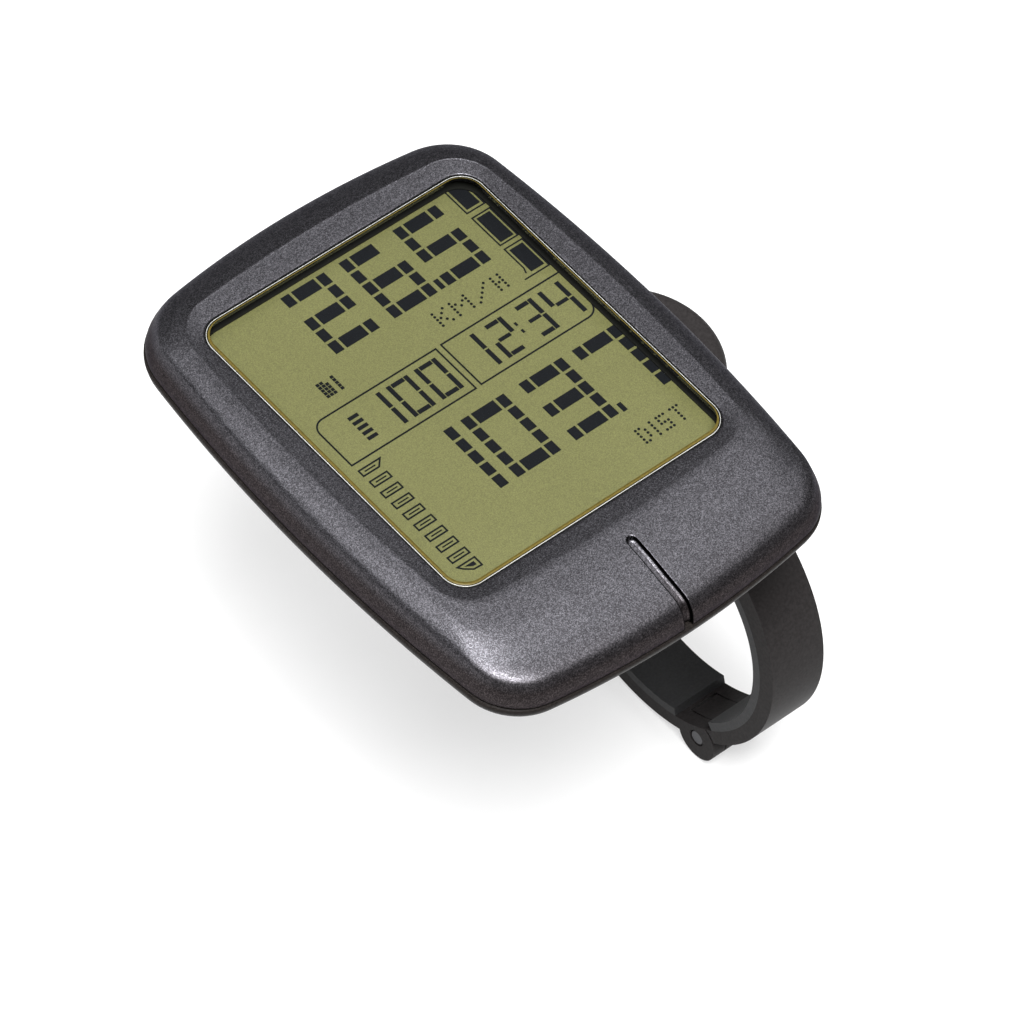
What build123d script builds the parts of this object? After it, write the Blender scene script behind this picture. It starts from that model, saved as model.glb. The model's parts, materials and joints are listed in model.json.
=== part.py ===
from build123d import *
from math import cos, radians, sin
import os

# Cycling computer: a head with a rocking key cover, a twist-lock bracket and a hinged handlebar clamp.
#
# Units are millimetres. The origin is the centre of the handlebar clamp, on the bar's axis.
# +X runs along the bar to the rider's right, +Y points forward, +Z is the normal of the display.

os.makedirs("parts", exist_ok=True)

# ---- driving dimensions ----------------------------------------------------------------------------

# where the display's centre stands over the handlebar clamp
FACE_X = -23.75
FACE_Y = 14.5
FACE_Z = 40.0

# head outline, measured from the window's centre on the face plane
HALF_WIDTH = 25.4
TOP_EDGE = 30.1
CHIN_EDGE = -36.9
SIDE_BOW = 2.3
END_BOW = 2.3
CORNER = 7.0
TOP_ROUND = 1.35
WALL = 1.4

# levels in the head, measured from the lens face (negative is deeper)
CREST = 0.35
CREST_SIDE = 5.1
CREST_TOP = 6.7
CREST_CHIN = 12.3
SEAM = -5.0
SEAM_GAP = 0.3
HEAD_BACK = -13.0

# window and lens
WINDOW_WIDTH = 38.0
WINDOW_LENGTH = 43.7
WINDOW_CORNER = 3.0
LENS_FIT = 0.1
LENS_STEP = 1.1
LENS_THICKNESS = 1.8
FLANGE = 1.3

# groove that marks the rocking line on the chin
GROOVE_WIDTH = 1.2
GROOVE_DEPTH = 0.35
GROOVE_START = -27.0

# rocking cover
PIVOT_LEVEL = -6.0
PIVOT_PIN = 0.75
RUNNING_FIT = 0.06
KEY_X = 14.5
KEY_Y = -28.0
PIP_RADIUS = 1.4
DOME_RADIUS = 2.5
DOME_HEIGHT = 0.4

# circuit board and display stack
BOARD_TOP = -5.2
BOARD_THICKNESS = 0.8
BOARD_HALF_WIDTH = 22.75
BOARD_TOP_EDGE = 24.1
BOARD_CHIN_EDGE = -30.8
LCD_LEVEL = -2.25
LCD_WIDTH = 38.6
LCD_LENGTH = 44.6
POLARISER = 0.15
LCD_GLASS = 1.1
REFLECTOR = 0.15
LIGHT_GUIDE = 0.9
FRAME_WALL = 0.7
FRAME_LIP = 0.2

# twist lock and battery, both centred on the head's middle
TWIST_X = FACE_X + 1.5
TWIST_Y = FACE_Y - 3.0
BOSS_OUTER = 14.0
TAB_OUTER = 15.6
TAB_ANGLE = 56.0
TAB_THICKNESS = 1.0
BOSS_HEIGHT = 2.6
COIN_RADIUS = 10.0
COIN_THICKNESS = 3.2
CAP_RADIUS = 11.95
CAP_THICKNESS = 1.6
LUG_OUTER = 11.3
LUG_ANGLE = 34.0

# bracket and dock
HUB_RADIUS = 19.8
BRACKET_TOP = 25.6
BRACKET_THICKNESS = 3.4
DOCK_THICKNESS = 1.1
DOCK_FIT = 0.3
DOCK_SCREW_CIRCLE = 17.1
ARM_END_X = 0.8
ARM_END_Y = 13.2
ARM_END_RADIUS = 10.6

# handlebar clamp
BAR_RADIUS = 15.9
LINER = 1.1
BAND = 2.6
BAND_WIDTH = 7.5
HINGE_ANGLE = 240.0
HINGE_PIN = 1.0
KNUCKLE = 2.9
KNUCKLE_HALF = 1.8
SPLIT_LEVEL = 8.2
SPLIT_GAP = 1.2
BOLT_Y = 21.2
BOLT_RADIUS = 2.0
BOLT_LENGTH = 25.0
BOLT_HEAD_RADIUS = 3.5
BOLT_HEAD_HEIGHT = 4.0
BOLT_SEAT = 17.0
EAR_RADIUS = 5.3
EAR_BOTTOM = -4.5
NUT_FLATS = 7.0
NUT_THICKNESS = 3.2

# ---- planes and values worked out from them -------------------------------------------------------

FACE = Plane((FACE_X, FACE_Y, FACE_Z))
TWIST = Plane((TWIST_X, TWIST_Y, FACE_Z))
BOARD_UNDER = BOARD_TOP - BOARD_THICKNESS
RIM = SEAM - SEAM_GAP
BORE = BAR_RADIUS + LINER
BAND_OUTER = BORE + BAND
HINGE_RADIUS = BORE + BAND - 0.8
HINGE_Y = HINGE_RADIUS * cos(radians(HINGE_ANGLE))
HINGE_Z = HINGE_RADIUS * sin(radians(HINGE_ANGLE))
DOCK_TOP = BRACKET_TOP + DOCK_THICKNESS
BOSS_BOTTOM = HEAD_BACK - BOSS_HEIGHT
POCKET_FLOOR = FACE_Z + BOSS_BOTTOM - DOCK_FIT


def finish(builder, label):
    """Name a finished piece and write its STEP file."""
    builder.part.label = label
    export_step(builder.part, f"parts/{label}.step")


def outline(half_width, top, bottom, level, corner=CORNER, bow=1.0, top_round=1.0):
    """Oblong with gently bowed sides and ends and round corners, at a level of the face plane."""
    side = half_width - SIDE_BOW * bow
    upper = top - END_BOW * bow
    lower = bottom + END_BOW * bow
    middle = (top + bottom) / 2
    with BuildSketch(FACE.offset(level)) as section:
        with BuildLine():
            ThreePointArc((-side, upper), (0, top), (side, upper))
            ThreePointArc((side, upper), (half_width, middle), (side, lower))
            ThreePointArc((side, lower), (0, bottom), (-side, lower))
            ThreePointArc((-side, lower), (-half_width, middle), (-side, upper))
        make_face()
        fillet(section.vertices().group_by(Axis.Y)[-1], corner * top_round)
        fillet(section.vertices().group_by(Axis.Y)[0], corner)
    return section.sketch


def inset(distance, level, corner=CORNER, top_round=1.0):
    """The head's outline moved inwards by a distance."""
    return outline(
        HALF_WIDTH - distance, TOP_EDGE - distance, CHIN_EDGE + distance, level, corner, top_round=top_round
    )


def cover_sections(skin):
    """Sections of the pillow-shaped cover from the seam to its crest, each moved inwards by a skin."""
    shape = (
        (0.0, 0.0, 0.0, SEAM, CORNER),
        (0.05, 0.05, 0.05, SEAM + 0.8, CORNER),
        (0.35, 0.35, 0.35, SEAM + 2.1, CORNER),
        (1.25, 1.3, 1.5, SEAM + 3.45, CORNER - 0.4),
        (3.0, 3.5, 5.8, CREST - 0.75, CORNER - 1.2),
        (4.4, 5.6, 9.5, CREST - 0.12, CORNER - 2.2),
        (CREST_SIDE, CREST_TOP, CREST_CHIN, CREST, CORNER - 2.8),
    )
    sections = []
    for side, end, chin, level, corner in shape:
        sections.append(
            outline(
                HALF_WIDTH - side - skin,
                TOP_EDGE - end - skin,
                CHIN_EDGE + chin + skin,
                level - skin if level > SEAM else level,
                corner,
                top_round=TOP_ROUND,
            )
        )
    return sections


def back_sections():
    """Sections of the boat-shaped back shell from its rim to its flat back."""
    return [
        inset(0.1, RIM, CORNER, TOP_ROUND),
        inset(0.5, RIM - 1.1, CORNER, TOP_ROUND),
        inset(2.6, RIM - 3.6, CORNER + 0.5, TOP_ROUND),
        inset(5.4, RIM - 6.2, CORNER + 1.0, TOP_ROUND),
        inset(8.2, HEAD_BACK, CORNER + 1.0, TOP_ROUND),
    ]


def pivot_plane(y):
    """Plane square to the rocking axis, facing +Y, with its origin on that axis."""
    return Plane((FACE_X, FACE_Y + y, FACE_Z + PIVOT_LEVEL), x_dir=(-1, 0, 0), z_dir=(0, 1, 0))


def sector(plane, inner, outer, middle, size):
    """Ring sector on a plane, by the angle of its middle and its size in degrees."""
    start = radians(middle - size / 2)
    centre = radians(middle)
    end = radians(middle + size / 2)
    with BuildSketch(plane) as piece:
        with BuildLine():
            Line((inner * cos(start), inner * sin(start)), (outer * cos(start), outer * sin(start)))
            ThreePointArc(
                (outer * cos(start), outer * sin(start)),
                (outer * cos(centre), outer * sin(centre)),
                (outer * cos(end), outer * sin(end)),
            )
            Line((outer * cos(end), outer * sin(end)), (inner * cos(end), inner * sin(end)))
            ThreePointArc(
                (inner * cos(end), inner * sin(end)),
                (inner * cos(centre), inner * sin(centre)),
                (inner * cos(start), inner * sin(start)),
            )
        make_face()
    return piece.sketch


# ---- key cover: front shell, lens and its gasket ----------------------------------------------------

WINDOW_HALF = WINDOW_WIDTH / 2
WINDOW_END = WINDOW_LENGTH / 2
FLANGE_WIDTH = WINDOW_WIDTH + 2 * FLANGE
FLANGE_LENGTH = WINDOW_LENGTH + 2 * FLANGE
GASKET_THICKNESS = 0.15
SHOULDER_CEILING = -2.7
CHIN_CEILING = -1.6
LUG_RADIUS = 1.6
LUG_SPANS = ((-33.0, -31.5), (24.7, 26.0))
EAR_SPANS = ((-34.5, -33.3), (26.3, 27.6))
PIN_SPANS = ((-34.5, -31.3), (24.5, 27.6))

# cutter for the groove on the rocking line: everything outside the cover's shape moved inwards
with BuildPart() as groove:
    with BuildSketch(FACE.offset(SEAM)):
        with Locations((0, (CHIN_EDGE + GROOVE_START) / 2 - 1)):
            Rectangle(GROOVE_WIDTH, GROOVE_START - CHIN_EDGE + 2)
        with Locations((0, GROOVE_START)):
            Circle(GROOVE_WIDTH / 2)
    extrude(amount=CREST - SEAM + 1)
    loft(cover_sections(GROOVE_DEPTH), mode=Mode.SUBTRACT)

with BuildPart() as front_shell:
    loft(cover_sections(0.0))
    # shallow bowl that leads from the crest down to the window
    loft(
        [
            outline(HALF_WIDTH - CREST_SIDE, TOP_EDGE - CREST_TOP, CHIN_EDGE + CREST_CHIN, CREST, CORNER - 2.8),
            outline(WINDOW_HALF + 0.25, WINDOW_END + 0.25, -WINDOW_END - 0.25, 0.0, 3.2, bow=0.1),
        ],
        mode=Mode.SUBTRACT,
    )
    # hollow inside, in two steps, and the pocket that the lens flange fills
    extrude(inset(WALL, SEAM, CORNER - WALL), amount=SHOULDER_CEILING - SEAM, mode=Mode.SUBTRACT)
    extrude(outline(21.6, 24.5, -30.5, SEAM, 4.0), amount=CHIN_CEILING - SEAM, mode=Mode.SUBTRACT)
    with BuildSketch(FACE.offset(SEAM)):
        RectangleRounded(FLANGE_WIDTH + 0.2, FLANGE_LENGTH + 0.3, WINDOW_CORNER + 0.6)
    extrude(amount=-LENS_STEP - SEAM, mode=Mode.SUBTRACT)
    with BuildSketch(FACE.offset(-LENS_STEP)):
        RectangleRounded(WINDOW_WIDTH + LENS_FIT, WINDOW_LENGTH + LENS_FIT, WINDOW_CORNER)
    extrude(amount=LENS_STEP + CREST, mode=Mode.SUBTRACT)
    # pips that press the snap domes
    with BuildSketch(FACE.offset(BOARD_TOP + DOME_HEIGHT + 0.02)):
        with Locations((-KEY_X, KEY_Y), (KEY_X, KEY_Y)):
            Circle(PIP_RADIUS)
    extrude(amount=CHIN_CEILING - BOARD_TOP - DOME_HEIGHT)
    # lugs that hang on the pivot pins
    for low, high in LUG_SPANS:
        with BuildSketch(pivot_plane(low)):
            with Locations((0, (SHOULDER_CEILING - PIVOT_LEVEL + 0.3) / 2)):
                Rectangle(2 * LUG_RADIUS, SHOULDER_CEILING - PIVOT_LEVEL + 0.3)
            Circle(LUG_RADIUS)
            Circle(PIVOT_PIN + RUNNING_FIT, mode=Mode.SUBTRACT)
        extrude(amount=high - low)
    add(groove.part, mode=Mode.SUBTRACT)
finish(front_shell, "front_shell")

with BuildPart() as lens:
    with BuildSketch(FACE.offset(-LENS_THICKNESS)):
        RectangleRounded(FLANGE_WIDTH - 0.2, FLANGE_LENGTH - 0.1, WINDOW_CORNER + 0.5)
    extrude(amount=LENS_THICKNESS - LENS_STEP - GASKET_THICKNESS)
    with BuildSketch(FACE.offset(-LENS_STEP - GASKET_THICKNESS)):
        RectangleRounded(WINDOW_WIDTH - LENS_FIT, WINDOW_LENGTH - LENS_FIT, WINDOW_CORNER - 0.05)
    extrude(amount=LENS_STEP + GASKET_THICKNESS)
    fillet(lens.faces().sort_by(Axis.Z)[-1].edges(), 0.2)
finish(lens, "lens")

with BuildPart() as lens_gasket:
    with BuildSketch(FACE.offset(-LENS_STEP - GASKET_THICKNESS)):
        RectangleRounded(FLANGE_WIDTH - 0.4, FLANGE_LENGTH - 0.3, WINDOW_CORNER + 0.4)
        RectangleRounded(WINDOW_WIDTH + 0.6, WINDOW_LENGTH + 0.6, WINDOW_CORNER + 0.2, mode=Mode.SUBTRACT)
    extrude(amount=GASKET_THICKNESS)
finish(lens_gasket, "lens_gasket")

# ---- head: back shell, its seal and the pivot pins --------------------------------------------------

FLOOR = HEAD_BACK + WALL
RABBET = 0.6
CAP_BORE = 12.2
PLUG_BORE = 10.6
LUG_BORE = 11.6
WELL_OUTER = 13.2
COUNTERBORE_TOP = HEAD_BACK + CAP_THICKNESS + 0.1
LUG_FLOOR = COUNTERBORE_TOP + 0.8
CELL_BOTTOM = HEAD_BACK + 3.3
CELL_TOP = CELL_BOTTOM + COIN_THICKNESS
SCREW_BOSS = 1.9
SCREWS = [(21.4, 3.0), (-21.4, 3.0), (19.3, -26.3), (-19.3, -26.3)]

# outer shape of the back shell, solid
with BuildPart() as hull:
    loft(back_sections())

with BuildPart() as back_shell:
    add(hull.part)
    loft(
        [
            inset(WALL + 0.9, RIM - RABBET, CORNER - 1),
            inset(WALL + 1.4, RIM - 2.0, CORNER - 1),
            inset(WALL + 3.2, RIM - 4.0),
            inset(WALL + 5.6, FLOOR),
        ],
        mode=Mode.SUBTRACT,
    )
    extrude(inset(1.6, RIM, CORNER - 1.6), amount=-RABBET, mode=Mode.SUBTRACT)
    # bosses under the board, trimmed to the shell's outer shape
    with BuildSketch(FACE.offset(FLOOR - 0.1)):
        with Locations(*SCREWS):
            Circle(SCREW_BOSS)
    extrude(amount=BOARD_UNDER - FLOOR + 0.1)
    add(hull.part, mode=Mode.INTERSECT)
    with BuildSketch(FACE.offset(BOARD_UNDER)):
        with Locations(*SCREWS):
            Circle(0.7)
    extrude(amount=-3.2, mode=Mode.SUBTRACT)
    # ears that hold the pivot pins
    for low, high in EAR_SPANS:
        with BuildSketch(pivot_plane(low)):
            with Locations((0, -1.5)):
                Rectangle(2 * LUG_RADIUS, 3.0)
            Circle(LUG_RADIUS)
        extrude(amount=high - low)
        with BuildSketch(pivot_plane(low)):
            Circle(PIVOT_PIN)
        extrude(amount=high - low, mode=Mode.SUBTRACT)
    # battery well
    with BuildSketch(TWIST.offset(FLOOR - 0.1)):
        Circle(WELL_OUTER)
    extrude(amount=CELL_TOP + 0.1 - FLOOR)
    with BuildSketch(TWIST.offset(CELL_BOTTOM - 0.1)):
        Circle(COIN_RADIUS + 0.3)
    extrude(amount=COIN_THICKNESS + 1, mode=Mode.SUBTRACT)
    # twist-lock boss with its two tabs
    with BuildSketch(TWIST.offset(BOSS_BOTTOM)):
        Circle(BOSS_OUTER)
    extrude(amount=BOSS_HEIGHT)
    for angle in (0, 180):
        tab = sector(TWIST.offset(BOSS_BOTTOM), BOSS_OUTER - 0.3, TAB_OUTER, angle, TAB_ANGLE)
        extrude(tab, amount=TAB_THICKNESS)
    # stepped bore for the battery cap, with the bayonet groove and its three entry slots
    with BuildSketch(TWIST.offset(BOSS_BOTTOM)):
        Circle(CAP_BORE)
    extrude(amount=COUNTERBORE_TOP - BOSS_BOTTOM, mode=Mode.SUBTRACT)
    with BuildSketch(TWIST.offset(COUNTERBORE_TOP)):
        Circle(PLUG_BORE)
    extrude(amount=CELL_BOTTOM - 0.1 - COUNTERBORE_TOP, mode=Mode.SUBTRACT)
    with BuildSketch(TWIST.offset(LUG_FLOOR)):
        Circle(LUG_BORE)
    extrude(amount=CELL_BOTTOM - 0.1 - LUG_FLOOR, mode=Mode.SUBTRACT)
    for angle in (60, 180, 300):
        slot = sector(TWIST.offset(COUNTERBORE_TOP), PLUG_BORE - 0.5, LUG_BORE, angle, LUG_ANGLE + 4)
        extrude(slot, amount=LUG_FLOOR - COUNTERBORE_TOP, mode=Mode.SUBTRACT)
    # notch under one tab where the detent leaf rests
    with BuildSketch(Plane.YZ.offset(TWIST_X + BOSS_OUTER - 0.2)):
        with Locations((TWIST_Y, FACE_Z + BOSS_BOTTOM)):
            Circle(0.6)
    extrude(amount=TAB_OUTER - BOSS_OUTER + 1, mode=Mode.SUBTRACT)
finish(back_shell, "back_shell")

with BuildPart() as seam_gasket:
    extrude(inset(1.6, RIM - RABBET, CORNER - 1.6), amount=1.6)
    extrude(inset(2.3, RIM - RABBET, CORNER - 2.3), amount=1.6, mode=Mode.SUBTRACT)
finish(seam_gasket, "seam_gasket")

with BuildPart() as pivot_pins:
    for low, high in PIN_SPANS:
        with BuildSketch(pivot_plane(low)):
            Circle(PIVOT_PIN)
        extrude(amount=high - low)
    chamfer(pivot_pins.edges().filter_by(GeomType.CIRCLE), 0.1)
finish(pivot_pins, "pivot_pins")

# ---- head: circuit board and what it carries --------------------------------------------------------

LCD_GLASS_TOP = LCD_LEVEL - POLARISER
REFLECTOR_TOP = LCD_GLASS_TOP - LCD_GLASS
GUIDE_TOP = REFLECTOR_TOP - REFLECTOR
GUIDE_WIDTH = 36.4
GUIDE_LENGTH = 39.0
FRAME_TOP = LCD_LEVEL + FRAME_LIP


def board_blocks(level, height, blocks):
    """Rectangular parts on the board: each block is (x, y, width, length)."""
    with BuildSketch(FACE.offset(level)) as footprint:
        for x, y, width, length in blocks:
            with Locations((x, y)):
                Rectangle(width, length)
    return extrude(footprint.sketch, amount=height)


with BuildPart() as circuit_board:
    board = outline(BOARD_HALF_WIDTH, BOARD_TOP_EDGE, BOARD_CHIN_EDGE, BOARD_UNDER, 4.5)
    extrude(board, amount=BOARD_THICKNESS)
    with BuildSketch(FACE.offset(BOARD_UNDER)):
        with Locations(*SCREWS):
            Circle(0.85)
    extrude(amount=BOARD_THICKNESS, mode=Mode.SUBTRACT)
finish(circuit_board, "circuit_board")

with BuildPart() as board_screws:
    with BuildSketch(FACE.offset(BOARD_TOP)):
        with Locations(*SCREWS):
            Circle(1.2)
    extrude(amount=0.8)
    with BuildSketch(FACE.offset(BOARD_TOP)):
        with Locations(*SCREWS):
            Circle(0.7)
    extrude(amount=-3.6)
    with BuildSketch(FACE.offset(BOARD_TOP + 0.8)):
        with Locations(*SCREWS):
            Rectangle(1.4, 0.3)
            Rectangle(0.3, 1.4)
    extrude(amount=-0.4, mode=Mode.SUBTRACT)
finish(board_screws, "board_screws")

with BuildPart() as snap_domes:
    for x in (-KEY_X, KEY_X):
        centre = Plane((FACE_X + x, FACE_Y + KEY_Y, FACE_Z + BOARD_TOP), x_dir=(1, 0, 0), z_dir=(0, -1, 0))
        with BuildSketch(centre):
            with BuildLine():
                Polyline(
                    (0, DOME_HEIGHT),
                    (1.0, DOME_HEIGHT),
                    (DOME_RADIUS, 0),
                    (DOME_RADIUS - 0.4, 0),
                    (0.9, DOME_HEIGHT - 0.12),
                    (0, DOME_HEIGHT - 0.12),
                    close=True,
                )
            make_face()
        revolve(axis=Axis((FACE_X + x, FACE_Y + KEY_Y, 0), (0, 0, 1)))
finish(snap_domes, "snap_domes")

with BuildPart() as controller_chip:
    add(board_blocks(BOARD_UNDER, -1.1, [(-7.5, 17.5, 8.0, 8.0)]))
    chamfer(controller_chip.edges().filter_by(Axis.Z), 0.3)
finish(controller_chip, "controller_chip")

with BuildPart() as radio_module:
    add(board_blocks(BOARD_UNDER, -0.4, [(7.5, 17.5, 9.0, 8.0)]))
    add(board_blocks(BOARD_UNDER - 0.4, -0.9, [(7.5, 17.5, 8.0, 7.0)]))
    fillet(radio_module.edges().filter_by(Axis.Z), 0.3)
finish(radio_module, "radio_module")

with BuildPart() as clock_crystal:
    add(board_blocks(BOARD_UNDER, -0.8, [(0.0, 19.5, 1.5, 3.2)]))
    fillet(clock_crystal.edges().filter_by(Axis.Z), 0.2)
finish(clock_crystal, "clock_crystal")

with BuildPart() as antenna:
    add(board_blocks(BOARD_TOP, 1.1, [(0.0, -26.6, 7.0, 2.0)]))
    chamfer(antenna.edges().filter_by(Axis.X), 0.15)
finish(antenna, "antenna")

with BuildPart() as capacitors:
    row = [(-17.0 + 2.2 * index, 21.4, 1.2, 0.7) for index in range(3)]
    column = [(sign * 18.5, 3.0 - 2.4 * index, 0.8, 1.4) for sign in (-1, 1) for index in range(4)]
    add(board_blocks(BOARD_UNDER, -0.6, row + column))
finish(capacitors, "capacitors")

with BuildPart() as buzzer:
    with BuildSketch(FACE.offset(BOARD_UNDER)):
        with Locations((0, -23.6)):
            Circle(5.5)
    extrude(amount=-1.6)
    fillet(buzzer.faces().sort_by(Axis.Z)[0].edges(), 0.3)
    with BuildSketch(FACE.offset(BOARD_UNDER - 1.6)):
        with Locations((0, -23.6)):
            Circle(0.8)
    extrude(amount=0.6, mode=Mode.SUBTRACT)
finish(buzzer, "buzzer")

with BuildPart() as lcd_frame:
    with BuildSketch(FACE.offset(BOARD_TOP)):
        RectangleRounded(LCD_WIDTH + 2 * FRAME_WALL, LCD_LENGTH + 2 * FRAME_WALL, 2.5)
    extrude(amount=FRAME_TOP - BOARD_TOP)
    with BuildSketch(FACE.offset(BOARD_TOP)):
        RectangleRounded(LCD_WIDTH + 0.1, LCD_LENGTH + 0.1, 0.8)
    extrude(amount=LCD_LEVEL - BOARD_TOP, mode=Mode.SUBTRACT)
    with BuildSketch(FACE.offset(LCD_LEVEL)):
        RectangleRounded(WINDOW_WIDTH - 0.5, WINDOW_LENGTH - 0.5, WINDOW_CORNER - 0.3)
    extrude(amount=FRAME_LIP, mode=Mode.SUBTRACT)
finish(lcd_frame, "lcd_frame")

with BuildPart() as lcd_polariser:
    with BuildSketch(FACE.offset(LCD_GLASS_TOP)):
        RectangleRounded(LCD_WIDTH - 0.2, LCD_LENGTH - 0.2, 0.6)
    extrude(amount=POLARISER)
finish(lcd_polariser, "lcd_polariser")

with BuildPart() as lcd_glass:
    with BuildSketch(FACE.offset(REFLECTOR_TOP)):
        RectangleRounded(LCD_WIDTH, LCD_LENGTH, 0.7)
    extrude(amount=LCD_GLASS)
finish(lcd_glass, "lcd_glass")

with BuildPart() as reflector:
    with BuildSketch(FACE.offset(GUIDE_TOP)):
        RectangleRounded(GUIDE_WIDTH, GUIDE_LENGTH, 0.6)
    extrude(amount=REFLECTOR)
finish(reflector, "reflector")

with BuildPart() as light_guide:
    with BuildSketch(FACE.offset(GUIDE_TOP - LIGHT_GUIDE)):
        RectangleRounded(GUIDE_WIDTH, GUIDE_LENGTH, 0.6)
    extrude(amount=LIGHT_GUIDE)
finish(light_guide, "light_guide")

with BuildPart() as backlight_leds:
    leds = [(GUIDE_WIDTH / 2 + 0.55, 12.0 * step, 0.9, 1.8) for step in (-1, 0, 1)]
    add(board_blocks(BOARD_TOP, GUIDE_TOP - 0.1 - BOARD_TOP, leds))
finish(backlight_leds, "backlight_leds")

with BuildPart() as zebra_strips:
    strips = [(0.0, side * (GUIDE_LENGTH / 2 + 1.4), 34.0, 1.4) for side in (-1, 1)]
    add(board_blocks(BOARD_TOP, REFLECTOR_TOP - BOARD_TOP, strips))
finish(zebra_strips, "zebra_strips")

# ---- head: coin cell, its contacts and the battery cap ----------------------------------------------

with BuildPart() as coin_cell:
    with BuildSketch(TWIST.offset(CELL_BOTTOM)):
        Circle(COIN_RADIUS)
    extrude(amount=COIN_THICKNESS - 0.3)
    fillet(coin_cell.edges(), 0.3)
    with BuildSketch(TWIST.offset(CELL_TOP - 0.3)):
        Circle(COIN_RADIUS - 1.2)
    extrude(amount=0.3)
finish(coin_cell, "coin_cell")

with BuildPart() as negative_contact:
    with BuildSketch(TWIST.offset(BOARD_UNDER)):
        Rectangle(12.0, 3.0)
    extrude(amount=-0.2)
    with BuildSketch(TWIST.offset(CELL_TOP)):
        with Locations((-4, 0), (4, 0)):
            Circle(0.9)
    extrude(amount=BOARD_UNDER - 0.2 - CELL_TOP)
finish(negative_contact, "negative_contact")

with BuildPart() as positive_contact:
    strip = sector(TWIST.offset(CELL_BOTTOM + 0.4), COIN_RADIUS + 0.05, COIN_RADIUS + 0.25, 90, 30)
    extrude(strip, amount=BOARD_UNDER - CELL_BOTTOM - 0.4)
finish(positive_contact, "positive_contact")

SEAL_LEVEL = HEAD_BACK + 0.8
SEAL_RING = 11.72
SEAL_WIRE = 0.4

with BuildPart() as battery_cap:
    with BuildSketch(TWIST.offset(HEAD_BACK)):
        Circle(CAP_RADIUS)
    extrude(amount=CAP_THICKNESS)
    chamfer(battery_cap.faces().sort_by(Axis.Z)[0].edges(), 0.3)
    with BuildSketch(TWIST.offset(SEAL_LEVEL - SEAL_WIRE - 0.05)):
        Circle(CAP_RADIUS + 1)
        Circle(SEAL_RING - SEAL_WIRE - 0.07, mode=Mode.SUBTRACT)
    extrude(amount=2 * SEAL_WIRE + 0.1, mode=Mode.SUBTRACT)
    with BuildSketch(TWIST.offset(HEAD_BACK + CAP_THICKNESS)):
        Circle(PLUG_BORE - 0.2)
    extrude(amount=CELL_BOTTOM - 0.1 - HEAD_BACK - CAP_THICKNESS)
    for angle in (0, 120, 240):
        lug = sector(TWIST.offset(LUG_FLOOR + 0.1), PLUG_BORE - 0.5, LUG_OUTER, angle, LUG_ANGLE)
        extrude(lug, amount=0.5)
    # coin slot
    with BuildSketch(TWIST.offset(HEAD_BACK)):
        SlotOverall(14.0, 2.2)
    extrude(amount=1.1, mode=Mode.SUBTRACT)
finish(battery_cap, "battery_cap")

with BuildPart() as cap_seal:
    centre = Plane((TWIST_X + SEAL_RING, TWIST_Y, FACE_Z + SEAL_LEVEL), x_dir=(1, 0, 0), z_dir=(0, -1, 0))
    with BuildSketch(centre):
        Circle(SEAL_WIRE)
    revolve(axis=Axis((TWIST_X, TWIST_Y, 0), (0, 0, 1)))
finish(cap_seal, "cap_seal")

# ---- bracket, dock ring and detent ------------------------------------------------------------------

CLAMP = Plane.YZ
BRACKET_UNDER = BRACKET_TOP - BRACKET_THICKNESS
POCKET_RADIUS = TAB_OUTER + DOCK_FIT
LIP_RADIUS = BOSS_OUTER + DOCK_FIT
SHANK_HOLE = BOLT_RADIUS + 0.2
HEAD_RECESS = BOLT_HEAD_RADIUS + 0.4
UPPER_SPLIT = SPLIT_LEVEL + SPLIT_GAP / 2
LOWER_SPLIT = SPLIT_LEVEL - SPLIT_GAP / 2
NOTCH_ANGLE = TAB_ANGLE + 8.0
STOP_ANGLE = 6.0
DOCK_SCREW = 0.8
DOCK_SCREW_HEAD = 1.3
BRACKET_EDGE = 1.2
SPRING_SHEET = 0.2
LEAF_X = TWIST_X + BOSS_OUTER + 0.85
LEAF_WIDTH = 1.4
LEAF_LENGTH = 5.6
BAND_CENTRE = (0.35, 0.6)


def band_profile(radius):
    """Disc on the clamp's axis, in the plane square to the bar."""
    with BuildSketch(CLAMP) as disc:
        Circle(radius)
    return disc.sketch


def band_half(start, end):
    """Half of the band between two angles: thickest at the top, thinner towards the rider and below."""
    ring = sector(CLAMP, BORE - 1, BAND_OUTER + 1, (start + end) / 2, end - start)
    with BuildSketch(CLAMP) as outside:
        with Locations(BAND_CENTRE):
            Circle(BAND_OUTER - 0.2)
    return ring & outside.sketch


def knuckle_profile(radius):
    """Disc on the hinge pin's axis, in the plane square to the bar."""
    with BuildSketch(CLAMP) as disc:
        with Locations((HINGE_Y, HINGE_Z)):
            Circle(radius)
    return disc.sketch


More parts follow.
